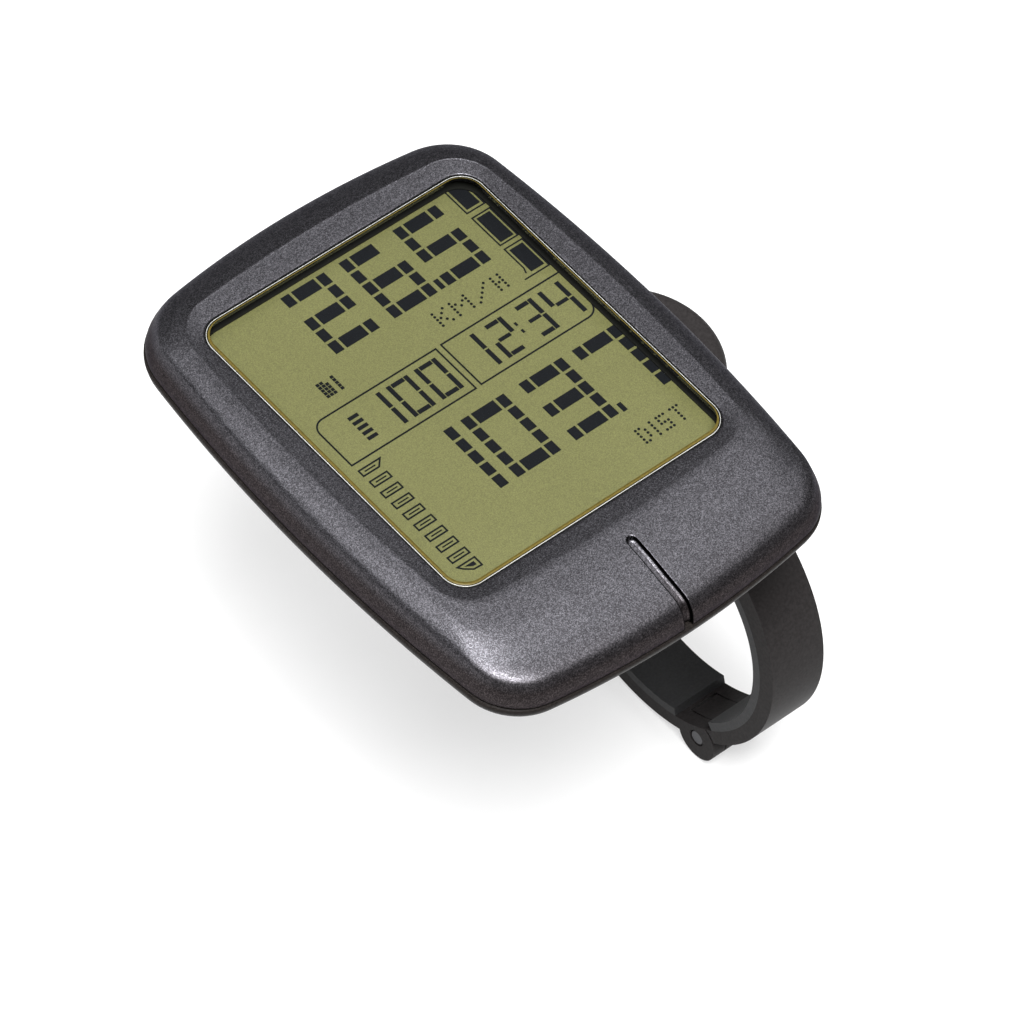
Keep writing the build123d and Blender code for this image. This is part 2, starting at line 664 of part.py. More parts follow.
with BuildPart() as bracket:
    # plan: the round hub drawn into the arm's round end and the bolt boss
    with BuildSketch(Plane.XY.offset(BRACKET_TOP)):
        with BuildLine():
            CenterArc((TWIST_X, TWIST_Y), HUB_RADIUS, 0, 360)
            CenterArc((ARM_END_X, ARM_END_Y), ARM_END_RADIUS, 0, 360)
            CenterArc((0, BOLT_Y), EAR_RADIUS, 0, 360)
        make_hull()
    extrude(amount=-BRACKET_THICKNESS)
    fillet(bracket.faces().sort_by(Axis.Z)[-1].edges(), BRACKET_EDGE)
    fillet(bracket.faces().sort_by(Axis.Z)[0].edges(), 0.8)
    # neck from the arm down to the band, and the bolt boss
    with BuildSketch(CLAMP):
        with BuildLine():
            Polyline(
                (4.6, BRACKET_UNDER + 1.0),
                (-6.0, 18.3),
                (12.0, UPPER_SPLIT),
                (BOLT_Y, UPPER_SPLIT),
                (BOLT_Y, BRACKET_UNDER + 1.0),
                close=True,
            )
        make_face()
    extrude(amount=BAND_WIDTH / 2, both=True)
    with BuildSketch(Plane.XY.offset(UPPER_SPLIT)):
        with Locations((0, BOLT_Y)):
            Circle(EAR_RADIUS)
    extrude(amount=BRACKET_UNDER + 1.0 - UPPER_SPLIT)
    # band over the bar, from the front split round to the hinge
    extrude(band_half(20, HINGE_ANGLE), amount=BAND_WIDTH / 2, both=True)
    extrude(knuckle_profile(KNUCKLE), amount=KNUCKLE_HALF, both=True)
    extrude(band_profile(BORE), amount=EAR_RADIUS + 1, both=True, mode=Mode.SUBTRACT)
    with BuildSketch(Plane.XY.offset(UPPER_SPLIT)):
        with Locations((0, BAND_OUTER)):
            Rectangle(4 * EAR_RADIUS, 2 * BAND_OUTER - 4)
    extrude(amount=-BAND_OUTER, mode=Mode.SUBTRACT)
    for side in (-1, 1):
        with BuildSketch(CLAMP.offset(side * (KNUCKLE_HALF + 0.1))):
            with Locations((HINGE_Y, HINGE_Z)):
                Circle(KNUCKLE + 0.3)
        extrude(amount=side * BAND_WIDTH, mode=Mode.SUBTRACT)
    extrude(knuckle_profile(HINGE_PIN), amount=BAND_WIDTH, both=True, mode=Mode.SUBTRACT)
    # seat and hole of the clamp bolt
    with BuildSketch(Plane.XY.offset(BRACKET_TOP)):
        with Locations((0, BOLT_Y)):
            Circle(HEAD_RECESS)
    extrude(amount=BOLT_SEAT - BRACKET_TOP, mode=Mode.SUBTRACT)
    with BuildSketch(Plane.XY.offset(BRACKET_TOP)):
        with Locations((0, BOLT_Y)):
            Circle(SHANK_HOLE)
    extrude(amount=UPPER_SPLIT - 1 - BRACKET_TOP, mode=Mode.SUBTRACT)
    # track that the tabs turn in, and its two stops
    with BuildSketch(Plane((TWIST_X, TWIST_Y, BRACKET_TOP))):
        Circle(POCKET_RADIUS)
    extrude(amount=POCKET_FLOOR - BRACKET_TOP, mode=Mode.SUBTRACT)
    for angle in (-TAB_ANGLE / 2 - 5, 90 + TAB_ANGLE / 2 + 5):
        stop = sector(
            Plane((TWIST_X, TWIST_Y, POCKET_FLOOR)), LIP_RADIUS + 0.2, POCKET_RADIUS + 0.3, angle, STOP_ANGLE
        )
        extrude(stop, amount=BRACKET_TOP - POCKET_FLOOR)
    # relief that the detent leaf bends into
    with BuildSketch(Plane((LEAF_X, TWIST_Y, POCKET_FLOOR))):
        Rectangle(LEAF_WIDTH + 0.2, LEAF_LENGTH - 1.8)
    extrude(amount=-0.6, mode=Mode.SUBTRACT)
    # pilot holes of the dock ring screws
    with BuildSketch(Plane((TWIST_X, TWIST_Y, BRACKET_TOP))):
        with PolarLocations(DOCK_SCREW_CIRCLE, 4, start_angle=45):
            Circle(DOCK_SCREW)
    extrude(amount=-3.0, mode=Mode.SUBTRACT)
    # lightening pockets in the hub's underside, which leave ribs between them
    for step in range(6):
        pocket = sector(Plane((TWIST_X, TWIST_Y, BRACKET_UNDER)), 4.0, 13.0, 60 * step + 30, 50)
        extrude(pocket, amount=1.0, mode=Mode.SUBTRACT)
finish(bracket, "bracket")

with BuildPart() as dock_ring:
    with BuildSketch(Plane((TWIST_X, TWIST_Y, BRACKET_TOP))):
        Circle(HUB_RADIUS - BRACKET_EDGE)
        Circle(LIP_RADIUS, mode=Mode.SUBTRACT)
    extrude(amount=DOCK_THICKNESS)
    chamfer(dock_ring.faces().sort_by(Axis.Z)[-1].edges(), 0.25)
    for angle in (90, 270):
        notch = sector(
            Plane((TWIST_X, TWIST_Y, BRACKET_TOP)), LIP_RADIUS - 0.5, POCKET_RADIUS, angle, NOTCH_ANGLE
        )
        extrude(notch, amount=DOCK_THICKNESS, mode=Mode.SUBTRACT)
    with Locations(Plane((TWIST_X, TWIST_Y, DOCK_TOP))):
        with PolarLocations(DOCK_SCREW_CIRCLE, 4, start_angle=45):
            CounterSinkHole(DOCK_SCREW, DOCK_SCREW_HEAD + 0.05, depth=DOCK_THICKNESS)
finish(dock_ring, "dock_ring")

with BuildPart() as dock_screws:
    with BuildSketch(Plane((TWIST_X, TWIST_Y, DOCK_TOP))):
        with PolarLocations(DOCK_SCREW_CIRCLE, 4, start_angle=45):
            Circle(DOCK_SCREW - 0.05)
    extrude(amount=-3.8)
    with BuildSketch(Plane((TWIST_X, TWIST_Y, DOCK_TOP))):
        with PolarLocations(DOCK_SCREW_CIRCLE, 4, start_angle=45):
            Circle(DOCK_SCREW_HEAD)
    extrude(amount=-0.55, taper=45)
    with BuildSketch(Plane((TWIST_X, TWIST_Y, DOCK_TOP))):
        with PolarLocations(DOCK_SCREW_CIRCLE, 4, start_angle=45):
            Rectangle(1.5, 0.3)
            Rectangle(0.3, 1.5)
    extrude(amount=-0.35, mode=Mode.SUBTRACT)
finish(dock_screws, "dock_screws")

with BuildPart() as detent_leaf:
    with BuildSketch(Plane((LEAF_X, TWIST_Y, POCKET_FLOOR))):
        Rectangle(LEAF_WIDTH, LEAF_LENGTH)
    extrude(amount=SPRING_SHEET)
    with BuildSketch(Plane.YZ.offset(LEAF_X - LEAF_WIDTH / 2)):
        with Locations((TWIST_Y, POCKET_FLOOR + SPRING_SHEET)):
            Circle(0.4)
            with Locations((0, -1.0)):
                Rectangle(2.0, 2.0, mode=Mode.SUBTRACT)
    extrude(amount=LEAF_WIDTH)
finish(detent_leaf, "detent_leaf")

# ---- lower jaw, liners and fasteners of the clamp ---------------------------------------------------

with BuildPart() as lower_jaw:
    extrude(band_half(HINGE_ANGLE + 2, 382), amount=BAND_WIDTH / 2, both=True)
    with BuildSketch(CLAMP):
        with BuildLine():
            Polyline(
                (12.0, LOWER_SPLIT),
                (BOLT_Y, LOWER_SPLIT),
                (BOLT_Y, EAR_BOTTOM),
                (17.5, EAR_BOTTOM - 3.0),
                (12.0, -10.0),
                close=True,
            )
        make_face()
    extrude(amount=BAND_WIDTH / 2, both=True)
    with BuildSketch(Plane.XY.offset(EAR_BOTTOM)):
        with Locations((0, BOLT_Y)):
            Circle(EAR_RADIUS)
    extrude(amount=LOWER_SPLIT - EAR_BOTTOM)
    extrude(knuckle_profile(KNUCKLE), amount=BAND_WIDTH / 2, both=True)
    extrude(band_profile(BORE), amount=EAR_RADIUS + 1, both=True, mode=Mode.SUBTRACT)
    extrude(knuckle_profile(KNUCKLE + 0.3), amount=KNUCKLE_HALF + 0.2, both=True, mode=Mode.SUBTRACT)
    extrude(knuckle_profile(HINGE_PIN + RUNNING_FIT), amount=BAND_WIDTH, both=True, mode=Mode.SUBTRACT)
    with BuildSketch(Plane.XY.offset(LOWER_SPLIT)):
        with Locations((0, BOLT_Y)):
            Circle(BOLT_RADIUS + 0.8)
    extrude(amount=-BAND_OUTER, mode=Mode.SUBTRACT)
    with BuildSketch(Plane.XY.offset(EAR_BOTTOM)):
        with Locations((0, BOLT_Y)):
            RegularPolygon(NUT_FLATS / 2 + 0.05, 6, major_radius=False)
    extrude(amount=NUT_THICKNESS + 0.2, mode=Mode.SUBTRACT)
    with BuildSketch(Plane.XY.offset(LOWER_SPLIT)):
        with Locations((0, 0)):
            Rectangle(4 * EAR_RADIUS, 2 * BOLT_Y + 4 * EAR_RADIUS)
    extrude(amount=BAND_OUTER, mode=Mode.SUBTRACT)
finish(lower_jaw, "lower_jaw")

with BuildPart() as clamp_nut:
    with BuildSketch(Plane.XY.offset(EAR_BOTTOM + 0.2)):
        with Locations((0, BOLT_Y)):
            RegularPolygon(NUT_FLATS / 2, 6, major_radius=False)
            Circle(BOLT_RADIUS + 0.4, mode=Mode.SUBTRACT)
    extrude(amount=NUT_THICKNESS)
finish(clamp_nut, "clamp_nut")

with BuildPart() as clamp_washer:
    with BuildSketch(Plane.XY.offset(BOLT_SEAT)):
        with Locations((0, BOLT_Y)):
            Circle(HEAD_RECESS - 0.1)
            Circle(SHANK_HOLE - 0.05, mode=Mode.SUBTRACT)
    extrude(amount=0.5)
finish(clamp_washer, "clamp_washer")

with BuildPart() as clamp_bolt:
    with BuildSketch(Plane.XY.offset(BOLT_SEAT + 0.5)):
        with Locations((0, BOLT_Y)):
            Circle(BOLT_HEAD_RADIUS)
    extrude(amount=BOLT_HEAD_HEIGHT)
    chamfer(clamp_bolt.faces().sort_by(Axis.Z)[-1].edges(), 0.3)
    with BuildSketch(Plane.XY.offset(BOLT_SEAT + 0.5)):
        with Locations((0, BOLT_Y)):
            Circle(BOLT_RADIUS)
    extrude(amount=-BOLT_LENGTH)
    chamfer(clamp_bolt.faces().sort_by(Axis.Z)[0].edges(), 0.4)
    with BuildSketch(Plane.XY.offset(BOLT_SEAT + 0.5 + BOLT_HEAD_HEIGHT)):
        with Locations((0, BOLT_Y)):
            RegularPolygon(1.5, 6, major_radius=False)
    extrude(amount=-2.4, mode=Mode.SUBTRACT)
finish(clamp_bolt, "clamp_bolt")

with BuildPart() as jaw_pin:
    extrude(knuckle_profile(HINGE_PIN), amount=BAND_WIDTH / 2 - 0.1, both=True)
    chamfer(jaw_pin.edges().filter_by(GeomType.CIRCLE), 0.15)
finish(jaw_pin, "jaw_pin")

with BuildPart() as upper_liner:
    extrude(sector(CLAMP, BAR_RADIUS, BORE, 131, 194), amount=BAND_WIDTH / 2, both=True)
finish(upper_liner, "upper_liner")

with BuildPart() as lower_liner:
    extrude(sector(CLAMP, BAR_RADIUS, BORE, 315, 130), amount=BAND_WIDTH / 2, both=True)
finish(lower_liner, "lower_liner")
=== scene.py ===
import bpy
import json
import math
from mathutils import Matrix, Vector


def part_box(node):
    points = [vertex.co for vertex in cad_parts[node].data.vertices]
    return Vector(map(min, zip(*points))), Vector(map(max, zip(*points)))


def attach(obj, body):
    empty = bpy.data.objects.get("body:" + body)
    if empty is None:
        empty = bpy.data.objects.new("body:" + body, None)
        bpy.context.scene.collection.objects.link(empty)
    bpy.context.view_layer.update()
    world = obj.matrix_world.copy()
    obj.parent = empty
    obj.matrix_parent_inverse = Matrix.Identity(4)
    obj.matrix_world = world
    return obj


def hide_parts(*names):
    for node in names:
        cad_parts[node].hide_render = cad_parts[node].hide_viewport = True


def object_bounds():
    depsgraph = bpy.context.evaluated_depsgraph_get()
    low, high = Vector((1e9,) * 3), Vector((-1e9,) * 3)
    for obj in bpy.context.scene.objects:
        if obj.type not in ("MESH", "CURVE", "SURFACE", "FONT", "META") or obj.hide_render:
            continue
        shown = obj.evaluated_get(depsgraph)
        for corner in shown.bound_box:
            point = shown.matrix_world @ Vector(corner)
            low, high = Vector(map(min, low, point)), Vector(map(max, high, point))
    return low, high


MM = 0.001
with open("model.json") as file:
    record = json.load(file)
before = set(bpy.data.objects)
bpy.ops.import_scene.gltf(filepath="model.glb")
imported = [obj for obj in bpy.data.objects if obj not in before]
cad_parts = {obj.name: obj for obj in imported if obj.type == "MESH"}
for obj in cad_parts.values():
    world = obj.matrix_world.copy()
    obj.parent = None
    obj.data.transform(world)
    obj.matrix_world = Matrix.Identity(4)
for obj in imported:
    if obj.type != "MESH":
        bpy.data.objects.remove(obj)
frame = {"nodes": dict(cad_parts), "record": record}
cad_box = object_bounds()
scene = bpy.context.scene

# the window's centre on the lens face: every display and cover coordinate below is measured from it, in mm
lens_low, lens_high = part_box("lens")
FACE = Vector(((lens_low[0] + lens_high[0]) / 2, (lens_low[1] + lens_high[1]) / 2, lens_high[2]))
FILM = (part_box("lcd_polariser")[1][2] - FACE.z) / MM


def to_row(point):
    """A point in millimetres from the window's centre, in metres in the row frame."""
    return FACE + Vector(point) * MM


# ---- material helpers ----------------------------------------------------------------------------

WHITE = (1.0, 1.0, 1.0)
# grain sizes of the speckled paint and of dust, in cells per metre
FLAKES = 10500.0
MIST = 12000.0
DRIFT = 45.0
DUST = 700.0
# slow drift of tone over a moulded surface, in mm
DRIFT_SIZE = 18.0
# levels between which the speckled paint darkens towards the seam as painted shade, in mm from the lens face
LOW_SHADE_FROM = -2.8
LOW_SHADE_TO = -0.9
# near-black of the painted shade in the groove
SHADE_BLACK = (0.002, 0.002, 0.002)


def new_material(name):
    material = bpy.data.materials.new(name)
    material.use_nodes = True
    return material, material.node_tree, material.node_tree.nodes["Principled BSDF"]


def grain(tree, scale, detail=3.0, kind="ShaderNodeTexNoise"):
    """Fine texture in the part's own coordinates, scale in cells per metre."""
    coords = tree.nodes.new("ShaderNodeTexCoord")
    texture = tree.nodes.new(kind)
    texture.inputs["Scale"].default_value = scale
    if kind == "ShaderNodeTexNoise":
        texture.inputs["Detail"].default_value = detail
    tree.links.new(coords.outputs["Object"], texture.inputs["Vector"])
    return texture


def ramp(tree, source, stops):
    """Colour ramp over a list of place and colour."""
    node = tree.nodes.new("ShaderNodeValToRGB")
    elements = node.color_ramp.elements
    while len(elements) < len(stops):
        elements.new(0.5)
    for element, (place, colour) in zip(elements, stops):
        element.position = place
        element.color = (*colour, 1.0)
    tree.links.new(source, node.inputs["Fac"])
    return node.outputs["Color"]


def grey(value):
    return (value, value, value)


def blend_colours(tree, factor, first, second, mode="MIX"):
    """Mix of two colours; the factor and each colour may be a value or a socket."""
    node = tree.nodes.new("ShaderNodeMix")
    node.data_type = "RGBA"
    node.blend_type = mode
    if isinstance(factor, float):
        node.inputs["Factor"].default_value = factor
    else:
        tree.links.new(factor, node.inputs["Factor"])
    for socket, value in ((node.inputs["A"], first), (node.inputs["B"], second)):
        if isinstance(value, tuple):
            socket.default_value = (*value, 1.0)
        else:
            tree.links.new(value, socket)
    return node.outputs["Result"]


def spread(tree, source, low, high):
    """Maps a texture's 0 to 1 onto low to high."""
    node = tree.nodes.new("ShaderNodeMapRange")
    node.inputs["To Min"].default_value = low
    node.inputs["To Max"].default_value = high
    tree.links.new(source, node.inputs["Value"])
    return node.outputs["Result"]


def add_bump(tree, shader, height, strength, distance):
    node = tree.nodes.new("ShaderNodeBump")
    node.inputs["Strength"].default_value = strength
    node.inputs["Distance"].default_value = distance
    tree.links.new(height, node.inputs["Height"])
    tree.links.new(node.outputs["Normal"], shader.inputs["Normal"])


def surface(name, colour, rough=0.5, metallic=0.0, size=0.4, vary=0.12, bump=0.15, drift=0.1, shine=0.5):
    """Moulded, rolled or painted surface: fine grain of a size in mm, slow drift of tone, uneven gloss."""
    material, tree, shader = new_material(name)
    fine = grain(tree, 1 / (size * MM), 4.0)
    slow = grain(tree, 1 / (DRIFT_SIZE * MM), 2.0)
    dark = tuple(c * (1 - vary) for c in colour)
    light = tuple(min(1.0, c * (1 + vary)) for c in colour)
    tone = ramp(tree, fine.outputs["Fac"], ((0.3, dark), (0.7, light)))
    shade = ramp(tree, slow.outputs["Fac"], ((0.3, grey(1 - drift)), (0.7, WHITE)))
    tree.links.new(blend_colours(tree, 1.0, tone, shade, "MULTIPLY"), shader.inputs["Base Color"])
    tree.links.new(spread(tree, slow.outputs["Fac"], rough - 0.06, rough + 0.06), shader.inputs["Roughness"])
    shader.inputs["Metallic"].default_value = metallic
    shader.inputs["Specular IOR Level"].default_value = shine
    add_bump(tree, shader, fine.outputs["Fac"], bump, 0.04 * MM)
    return material


def painted_low_shade(tree, low_shade_colour):
    """White on the face, turning to the low shade colour towards the seam: painted shade on the low slopes.
    """
    coords = tree.nodes.new("ShaderNodeTexCoord")
    place = tree.nodes.new("ShaderNodeSeparateXYZ")
    tree.links.new(coords.outputs["Object"], place.inputs["Vector"])
    height = tree.nodes.new("ShaderNodeMapRange")
    height.inputs["From Min"].default_value = FACE.z + LOW_SHADE_FROM * MM
    height.inputs["From Max"].default_value = FACE.z + LOW_SHADE_TO * MM
    tree.links.new(place.outputs["Z"], height.inputs["Value"])
    return ramp(tree, height.outputs["Result"], ((0.0, low_shade_colour), (1.0, WHITE)))


def speckled(name, colour, rough, flake, metallic, shine, low_shade_colour=WHITE, painted_shade_attribute=None):
    """Graphite paint: fine flakes of uneven brightness in a dark base, darkened with a warm cast towards the
    seam as painted shade.

    The last argument names a point attribute that darkens the paint to black where it is 1: painted shade in
    the groove.
    """
    material, tree, shader = new_material(name)
    flakes = grain(tree, FLAKES, kind="ShaderNodeTexVoronoi")
    mist = grain(tree, MIST, 1.0)
    slow = grain(tree, DRIFT, 2.0)
    dark = tuple(c * (1 - flake) for c in colour)
    light = tuple(min(1.0, c * (1 + 1.4 * flake)) for c in colour)
    split = tree.nodes.new("ShaderNodeSeparateColor")
    tree.links.new(flakes.outputs["Color"], split.inputs["Color"])
    cells = ramp(tree, split.outputs["Red"], ((0.0, dark), (0.65, colour), (1.0, light)))
    haze = ramp(tree, mist.outputs["Fac"], ((0.3, grey(0.8)), (0.7, grey(1.15))))
    tone = blend_colours(tree, 1.0, cells, haze, "MULTIPLY")
    shade = ramp(tree, slow.outputs["Fac"], ((0.3, grey(0.94)), (0.7, WHITE)))
    # painted shade: the paint darkens towards the seam
    tone = blend_colours(tree, 1.0, tone, painted_low_shade(tree, low_shade_colour), "MULTIPLY")
    # painted shade: the paint is mixed to black where the attribute is 1
    if painted_shade_attribute:
        marked = tree.nodes.new("ShaderNodeAttribute")
        marked.attribute_name = painted_shade_attribute
        tone = blend_colours(tree, marked.outputs["Fac"], tone, SHADE_BLACK)
    tree.links.new(blend_colours(tree, 1.0, tone, shade, "MULTIPLY"), shader.inputs["Base Color"])
    gloss = spread(tree, split.outputs["Green"], rough - 0.05, rough + 0.08)
    tree.links.new(gloss, shader.inputs["Roughness"])
    shader.inputs["Metallic"].default_value = metallic
    shader.inputs["Specular IOR Level"].default_value = shine
    shader.inputs["Specular Tint"].default_value = (0.45, 0.45, 0.47, 1.0)
    add_bump(tree, shader, mist.outputs["Fac"], 0.3, 0.02 * MM)
    return material


def clear(name, tint, gloss, rough=0.03):
    """Thin clear plastic: what is behind it shows unbent, under a coat of reflection."""
    material, tree, shader = new_material(name)
    tree.nodes.remove(shader)
    see = tree.nodes.new("ShaderNodeBsdfTransparent")
    see.inputs["Color"].default_value = (*tint, 1.0)
    shine = tree.nodes.new("ShaderNodeBsdfPrincipled")
    dust = ramp(tree, grain(tree, DUST, 3.0).outputs["Fac"], ((0.3, grey(0.02)), (0.7, grey(0.03))))
    tree.links.new(dust, shine.inputs["Base Color"])
    shine.inputs["Roughness"].default_value = rough
    facing = tree.nodes.new("ShaderNodeLayerWeight")
    facing.inputs["Blend"].default_value = gloss
    mix = tree.nodes.new("ShaderNodeMixShader")
    tree.links.new(facing.outputs["Fresnel"], mix.inputs["Fac"])
    tree.links.new(see.outputs["BSDF"], mix.inputs[1])
    tree.links.new(shine.outputs["BSDF"], mix.inputs[2])
    out = next(n for n in tree.nodes if n.type == "OUTPUT_MATERIAL")
    tree.links.new(mix.outputs["Shader"], out.inputs["Surface"])
    return material


# ---- materials -----------------------------------------------------------------------------------

# the shell's paint carries painted shade: darker towards the seam and black in the groove
SHELL = speckled("graphite", (0.086, 0.084, 0.093), 0.42, 0.6, 0.95, 0.3, (0.46, 0.40, 0.37), "painted_groove_shade")
CASE = speckled("graphite_under", (0.013, 0.011, 0.010), 0.45, 0.4, 0.0, 0.08)
LCD_FILM = surface("lcd_olive", (0.098, 0.094, 0.035), 0.55, 0.0, 0.12, 0.3, 0.06, 0.05)
INK = surface("lcd_ink", (0.004, 0.0045, 0.007), 0.7, 0.0, 0.2, 0.2, 0.05, shine=0.1)
FINISH = {
    "cover_plastic": SHELL,
    "case_plastic": CASE,
    "lens_clear": clear("lens_clear", (0.97, 0.98, 0.95), 0.12),
    "adhesive": surface("adhesive", (0.012, 0.012, 0.012), 0.6),
    "seal_rubber": surface("seal_rubber", (0.02, 0.02, 0.022), 0.7),
    "pin_steel": surface("pin_steel", (0.07, 0.07, 0.075), 0.4, 1.0, 0.2, 0.08),
    "solder_mask": surface("solder_mask", (0.02, 0.12, 0.05), 0.35, 0.0, 0.6, 0.25, 0.3),
    "screw_steel": surface("screw_steel", (0.5, 0.5, 0.52), 0.3, 1.0, 0.2, 0.1),
    "spring_steel": surface("spring_steel", (0.62, 0.6, 0.55), 0.28, 1.0, 0.25, 0.08),
    "chip_resin": surface("chip_resin", (0.02, 0.02, 0.022), 0.55),
    "shield_can": surface("shield_can", (0.6, 0.6, 0.58), 0.3, 1.0, 0.3, 0.06),
    "ceramic": surface("ceramic", (0.6, 0.5, 0.36), 0.35, 0.0, 0.2, 0.15),
    "frame_black": surface("frame_black", (0.006, 0.006, 0.006), 0.5, shine=0.2),
    "lcd_film": LCD_FILM,
    "lcd_cell": clear("lcd_cell", (0.8, 0.82, 0.7), 0.2),
    "silver_film": surface("silver_film", (0.6, 0.61, 0.58), 0.35, 0.6, 0.2, 0.08),
    "acrylic": clear("acrylic", (0.85, 0.92, 0.88), 0.2),
    "led_resin": surface("led_resin", (0.8, 0.72, 0.3), 0.3),
    "zebra_rubber": surface("zebra_rubber", (0.2, 0.21, 0.23), 0.7, 0.0, 0.15, 0.4),
    "cell_steel": surface("cell_steel", (0.68, 0.68, 0.66), 0.25, 1.0, 0.2, 0.06),
    "cap_plastic": surface("cap_plastic", (0.014, 0.013, 0.014), 0.45, 0.0, 0.35, 0.25, 0.3, shine=0.3),
    "bracket_plastic": surface(
        "bracket_plastic", (0.022, 0.020, 0.020), 0.45, 0.0, 0.35, 0.2, 0.25, shine=0.04
    ),
    "liner_rubber": surface("liner_rubber", (0.016, 0.016, 0.017), 0.75, 0.0, 0.3, 0.3, 0.3),
    "bolt_steel": surface("bolt_steel", (0.16, 0.16, 0.165), 0.35, 1.0, 0.25, 0.12),
}
for entry in frame["record"]["subparts"]:
    for place in frame["nodes"][entry["node"]].material_slots:
        place.material = FINISH[entry["material_slot"]]

# ---- mesh helpers --------------------------------------------------------------------------------


def mesh_piece(name, points, faces, material, body, smooth=True):
    """A piece from points in millimetres measured from the window's centre."""
    mesh = bpy.data.meshes.new(name)
    mesh.from_pydata([to_row(p) for p in points], [], faces)
    mesh.validate()
    mesh.update()
    piece = bpy.data.objects.new(name, mesh)
    scene.collection.objects.link(piece)
    piece.data.materials.append(material)
    for face in mesh.polygons:
        face.use_smooth = smooth
    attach(piece, body)
    return piece


def tube_faces(rings, count, close):
    """Quads between rings of the same number of points; close joins the last ring to the first."""
    faces = []
    for i in range(rings if close else rings - 1):
        below = i * count
        above = ((i + 1) % rings) * count
        for j in range(count):
            k = (j + 1) % count
            faces.append((below + j, below + k, above + k, above + j))
    return faces


def steps(first, last, count):
    return [first + (last - first) * i / count for i in range(count)]


# half the stretch of the chin that is divided finely for the groove
FINE_HALF = 1.6
FINE_STEPS = 64
CHIN_STEPS = 18
CORNER_STEPS = 14
SIDE_STEPS = 40
TOP_STEPS = 44


def oblong(half_width, top, bottom, corner, side_bow, end_bow, top_corner=None):
    """Points anticlockwise round an oblong with bowed sides and ends and round corners.

    Each side is an arc that leaves its chord by the bow. The points are dense where the groove crosses
    the chin.
    """
    side_bow = max(side_bow, 0.01)
    end_bow = max(end_bow, 0.01)
    side = half_width - side_bow
    rise = (top - bottom) / 2 - end_bow
    mid = (top + bottom) / 2
    side_radius = (rise * rise + side_bow * side_bow) / (2 * side_bow)
    end_radius = (side * side + end_bow * end_bow) / (2 * end_bow)
    side_centre = half_width - side_radius
    end_centre = (top - bottom) / 2 - end_radius

    def corner_circle(radius):
        """Centre of the round between the right side and the upper end, and the angles where they meet it."""
        reach_side = side_radius - radius
        reach_end = end_radius - radius
        span = math.hypot(side_centre, end_centre)
        along = (reach_side ** 2 - reach_end ** 2 + span ** 2) / (2 * span)
        across = math.sqrt(max(0.0, reach_side ** 2 - along ** 2))
        ux, uy = -side_centre / span, end_centre / span
        cx = side_centre + ux * along - uy * across
        cy = uy * along + ux * across
        if cx < 0 or cy < 0:
            cx = side_centre + ux * along + uy * across
            cy = uy * along - ux * across
        on_side = math.atan2(cy, cx - side_centre)
        on_end = math.atan2(cy - end_centre, cx)
        return cx, cy, on_side, on_end

    def corner_arc(circle, radius, side_x, side_y, start, end):
        """Points of one corner; side_x and side_y are 1 or -1 and choose the corner."""
        return [
            (side_x * circle[0] + radius * math.cos(turn), mid + side_y * circle[1] + radius * math.sin(turn))
            for turn in steps(start, end, CORNER_STEPS)
        ]

    low_radius = corner
    high_radius = top_corner or corner
    low = corner_circle(low_radius)
    high = corner_circle(high_radius)
    low_x = end_radius * math.cos(low[3])
    low_y = side_radius * math.sin(low[2])
    high_x = end_radius * math.cos(high[3])
    high_y = side_radius * math.sin(high[2])

    def on_chin(x):
        return (x, mid - end_centre - math.sqrt(end_radius ** 2 - x * x))

    def on_top(x):
        return (x, mid + end_centre + math.sqrt(end_radius ** 2 - x * x))

    def on_side(y, sign):
        return (sign * (side_centre + math.sqrt(side_radius ** 2 - y * y)), mid + y)

    chin = steps(-low_x, -FINE_HALF, CHIN_STEPS)
    chin += steps(-FINE_HALF, FINE_HALF, FINE_STEPS)
    chin += steps(FINE_HALF, low_x, CHIN_STEPS)
    loop = [on_chin(x) for x in chin]
    loop += corner_arc(low, low_radius, 1, -1, -low[3], -low[2])
    loop += [on_side(y, 1) for y in steps(-low_y, high_y, SIDE_STEPS)]
    loop += corner_arc(high, high_radius, 1, 1, high[2], high[3])
    loop += [on_top(x) for x in steps(high_x, -high_x, TOP_STEPS)]
    loop += corner_arc(high, high_radius, -1, 1, math.pi - high[3], math.pi - high[2])
    loop += [on_side(y, -1) for y in steps(high_y, -low_y, SIDE_STEPS)]
    loop += corner_arc(low, low_radius, -1, -1, math.pi + low[2], math.pi + low[3])
    return loop


def smooth_row(rows, t):
    """Catmull-Rom curve through rows of numbers, t from 0 to the number of spans."""
    i = min(int(t), len(rows) - 2)
    f = t - i
    p0 = rows[max(i - 1, 0)]
    p1 = rows[i]
    p2 = rows[i + 1]
    p3 = rows[min(i + 2, len(rows) - 1)]
    return [
        0.5 * (2 * b + (c - a) * f + (2 * a - 5 * b + 4 * c - d) * f * f + (3 * b - a - 3 * c + d) * f ** 3)
        for a, b, c, d in zip(p0, p1, p2, p3)
    ]


# ---- front shell ---------------------------------------------------------------------------------

HALF_WIDTH = 25.4
TOP_EDGE = 30.1
CHIN_EDGE = -36.9
SIDE_BOW = 2.3
END_BOW = 2.3
# the top corners are rounder than the chin's by this share of the bow
TOP_ROUND = 0.18
SEAM = -4.55
RIM_TOP = -4.84
